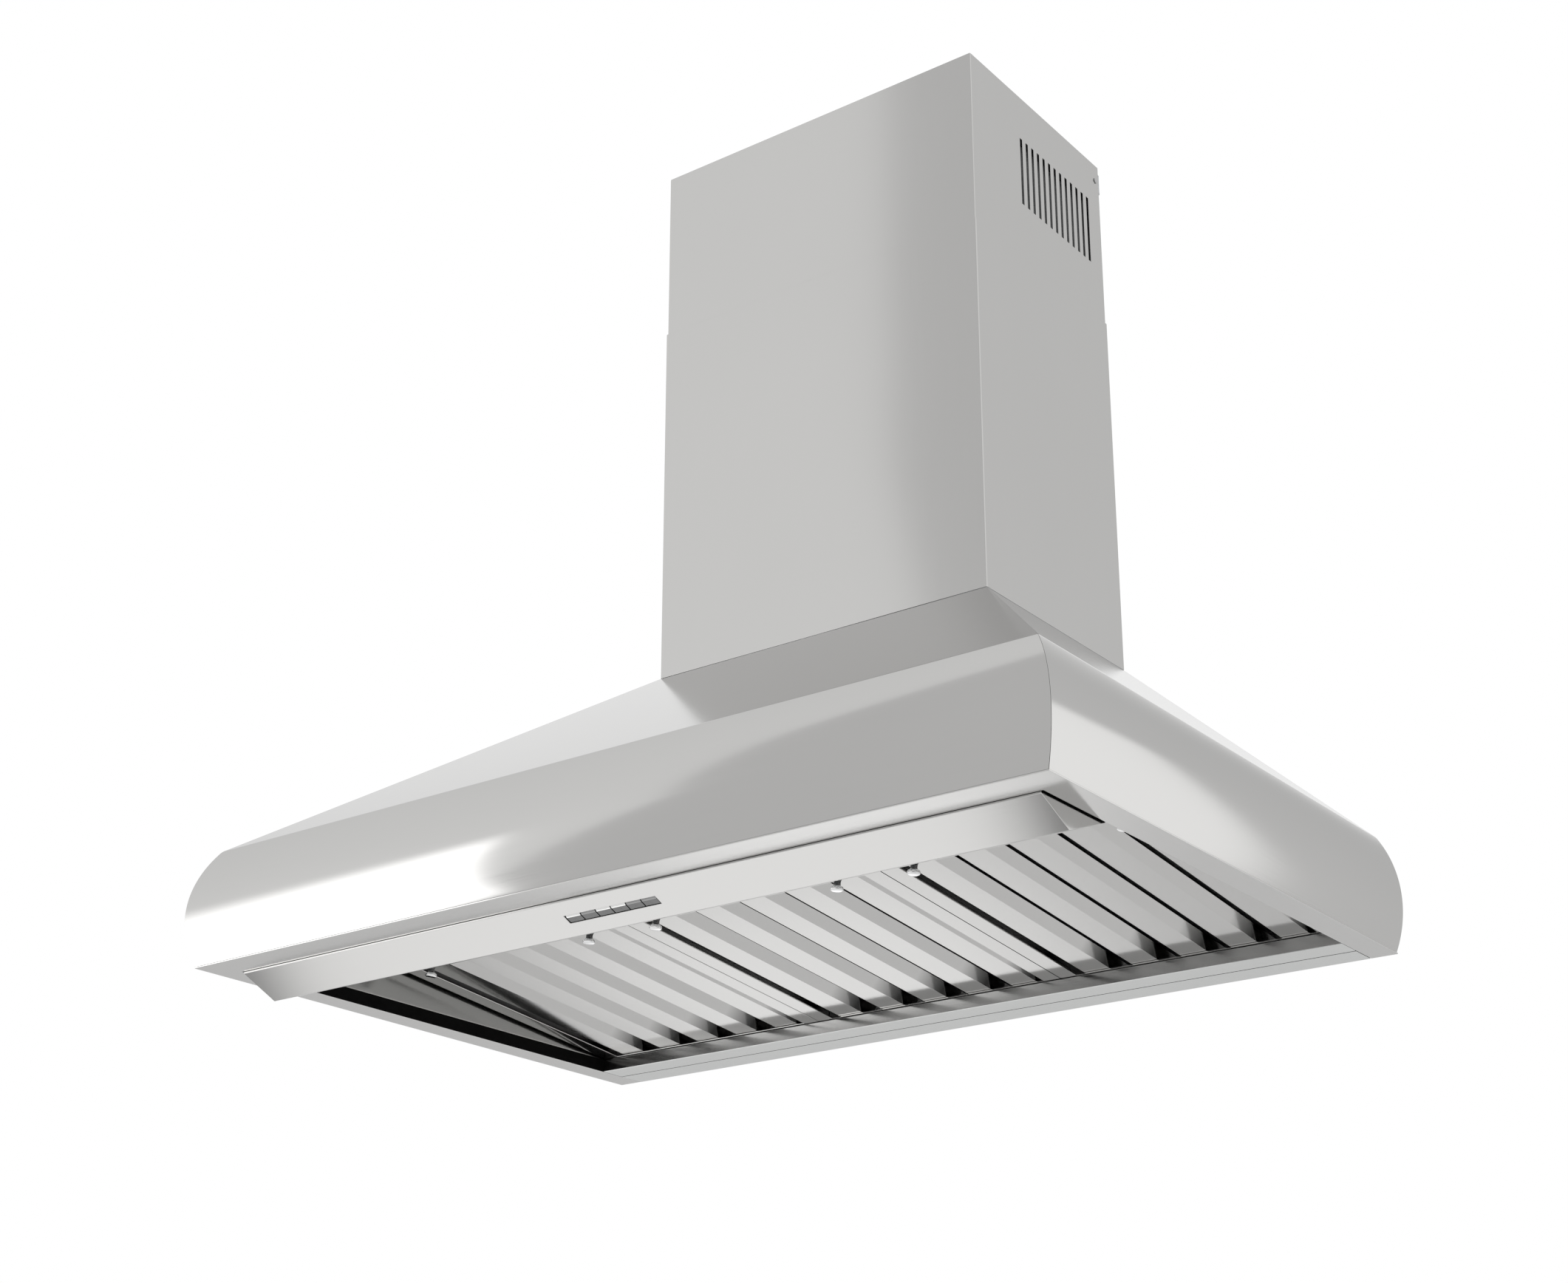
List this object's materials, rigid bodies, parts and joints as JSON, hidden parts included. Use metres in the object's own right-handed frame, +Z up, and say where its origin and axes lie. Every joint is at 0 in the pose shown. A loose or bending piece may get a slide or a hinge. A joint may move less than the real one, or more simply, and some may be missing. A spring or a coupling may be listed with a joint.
{
  "type": "range hood",
  "caption": "Wall-mounted canopy range hood: curved stainless canopy, telescoping chimney, push-button fascia, tilted baffle filters and an internal blower.",
  "frame": {"origin": "on the wall plane, on the hood's centre line, 200 mm above the underside of the rim, midway between the two hanging keyholes", "axes": "+X to the right seen from the front, +Y into the wall, +Z up"},
  "size_m": [0.9148, 0.6124, 0.9304],
  "materials": {
    "stainless_skin": "satin brushed stainless sheet, polished to a soft mirror",
    "stainless_chimney": "satin brushed stainless sheet",
    "stainless_rim": "satin stainless with clear reflections",
    "stainless_fascia": "satin stainless with clear reflections",
    "stainless_liner": "satin stainless",
    "filter_stainless": "bright stainless with clear reflections",
    "knob_chrome": "polished",
    "lamp_chrome": "polished",
    "lamp_glass": "frosted",
    "galvanised": "galvanised sheet with faint spangle",
    "screw_steel": "zinc plated",
    "black_plastic": "fine moulded texture",
    "key_grey": "satin grey paint on plastic",
    "circuit_board": "solder mask",
    "wheel_black": "moulded",
    "motor_paint": "semi-gloss black paint",
    "capacitor_white": "moulded"
  },
  "bodies": {
    "hood_body": {"canopy_front_panel": "stainless_skin", "canopy_left_panel": "stainless_skin", "canopy_right_panel": "stainless_skin", "rim_frame": "stainless_rim", "rear_grease_rail": "stainless_rim", "control_fascia": "stainless_fascia", "side_liner_left": "stainless_liner", "side_liner_right": "stainless_liner", "lamp_panel": "stainless_liner", "chimney_lower_cover": "stainless_chimney", "canopy_back_panel": "galvanised", "canopy_top_plate": "galvanised", "front_filter_rail": "galvanised", "blower_inlet_side": "galvanised", "blower_motor_side": "galvanised", "blower_scroll": "galvanised", "blower_mounting_plate": "galvanised", "blower_inlet_ring": "galvanised", "motor_mount": "galvanised", "electrical_box": "galvanised", "electrical_box_cover": "galvanised", "damper_pin": "screw_steel", "switch_housing": "black_plastic", "cable_gland": "black_plastic", "duct_collar": "black_plastic", "control_board": "circuit_board", "lamp_left": "lamp_chrome", "lamp_right": "lamp_chrome", "lamp_lens_left": "lamp_glass", "lamp_lens_right": "lamp_glass", "motor": "motor_paint", "motor_capacitor": "capacitor_white"},
    "upper_chimney": {"chimney_upper_cover": "stainless_chimney", "vent_cap_left": "black_plastic", "vent_cap_right": "black_plastic", "upper_wall_bracket": "galvanised", "cover_screw_left": "screw_steel", "cover_screw_right": "screw_steel"},
    "key_1": {"button_1": "key_grey"},
    "key_2": {"button_2": "key_grey"},
    "key_3": {"button_3": "key_grey"},
    "key_4": {"button_4": "key_grey"},
    "key_5": {"button_5": "key_grey"},
    "key_6": {"button_6": "key_grey"},
    "filter_1": {"filter_1_frame": "filter_stainless", "filter_1_baffles": "filter_stainless", "filter_1_knob_left": "knob_chrome", "filter_1_knob_right": "knob_chrome"},
    "filter_2": {"filter_2_frame": "filter_stainless", "filter_2_baffles": "filter_stainless", "filter_2_knob_left": "knob_chrome", "filter_2_knob_right": "knob_chrome"},
    "filter_3": {"filter_3_frame": "filter_stainless", "filter_3_baffles": "filter_stainless", "filter_3_knob_left": "knob_chrome", "filter_3_knob_right": "knob_chrome"},
    "blower_rotor": {"blower_wheel": "wheel_black", "motor_shaft": "screw_steel"},
    "damper_rear": {"damper_flap_rear": "black_plastic"},
    "damper_front": {"damper_flap_front": "black_plastic"}
  },
  "joints": [
    {"name": "chimney_slide", "type": "slide", "parent": "hood_body", "child": "upper_chimney", "axis": [0, 0, 1], "range_m": [-0.165, 0.14]},
    {"name": "key_1_press", "type": "slide", "parent": "hood_body", "child": "key_1", "axis": [0, 0.4199, 0.9075], "range_m": [0, 0.002], "stiffness_N_per_m": 300, "springref_m": -0.002},
    {"name": "key_2_press", "type": "slide", "parent": "hood_body", "child": "key_2", "axis": [0, 0.4199, 0.9075], "range_m": [0, 0.002], "stiffness_N_per_m": 300, "springref_m": -0.002},
    {"name": "key_3_press", "type": "slide", "parent": "hood_body", "child": "key_3", "axis": [0, 0.4199, 0.9075], "range_m": [0, 0.002], "stiffness_N_per_m": 300, "springref_m": -0.002},
    {"name": "key_4_press", "type": "slide", "parent": "hood_body", "child": "key_4", "axis": [0, 0.4199, 0.9075], "range_m": [0, 0.002], "stiffness_N_per_m": 300, "springref_m": -0.002},
    {"name": "key_5_press", "type": "slide", "parent": "hood_body", "child": "key_5", "axis": [0, 0.4199, 0.9075], "range_m": [0, 0.002], "stiffness_N_per_m": 300, "springref_m": -0.002},
    {"name": "key_6_press", "type": "slide", "parent": "hood_body", "child": "key_6", "axis": [0, 0.4199, 0.9075], "range_m": [0, 0.002], "stiffness_N_per_m": 300, "springref_m": -0.002},
    {"name": "filter_1_swing", "type": "hinge", "parent": "hood_body", "child": "filter_1", "pos_m": [-0.28, -0.0615, -0.1868], "axis": [1, 0, 0], "range_deg": [0, 75]},
    {"name": "filter_2_swing", "type": "hinge", "parent": "hood_body", "child": "filter_2", "pos_m": [0, -0.0615, -0.1868], "axis": [1, 0, 0], "range_deg": [0, 75]},
    {"name": "filter_3_swing", "type": "hinge", "parent": "hood_body", "child": "filter_3", "pos_m": [0.28, -0.0615, -0.1868], "axis": [1, 0, 0], "range_deg": [0, 75]},
    {"name": "blower_spin", "type": "hinge", "parent": "hood_body", "child": "blower_rotor", "pos_m": [0, -0.175, 0.025], "axis": [1, 0, 0], "continuous": true},
    {"name": "damper_rear_flap", "type": "hinge", "parent": "hood_body", "child": "damper_rear", "pos_m": [0, -0.086, 0.232], "axis": [1, 0, 0], "range_deg": [0, 75]},
    {"name": "damper_front_flap", "type": "hinge", "parent": "hood_body", "child": "damper_front", "pos_m": [0, -0.086, 0.232], "axis": [-1, 0, 0], "range_deg": [0, 75]}
  ]
}
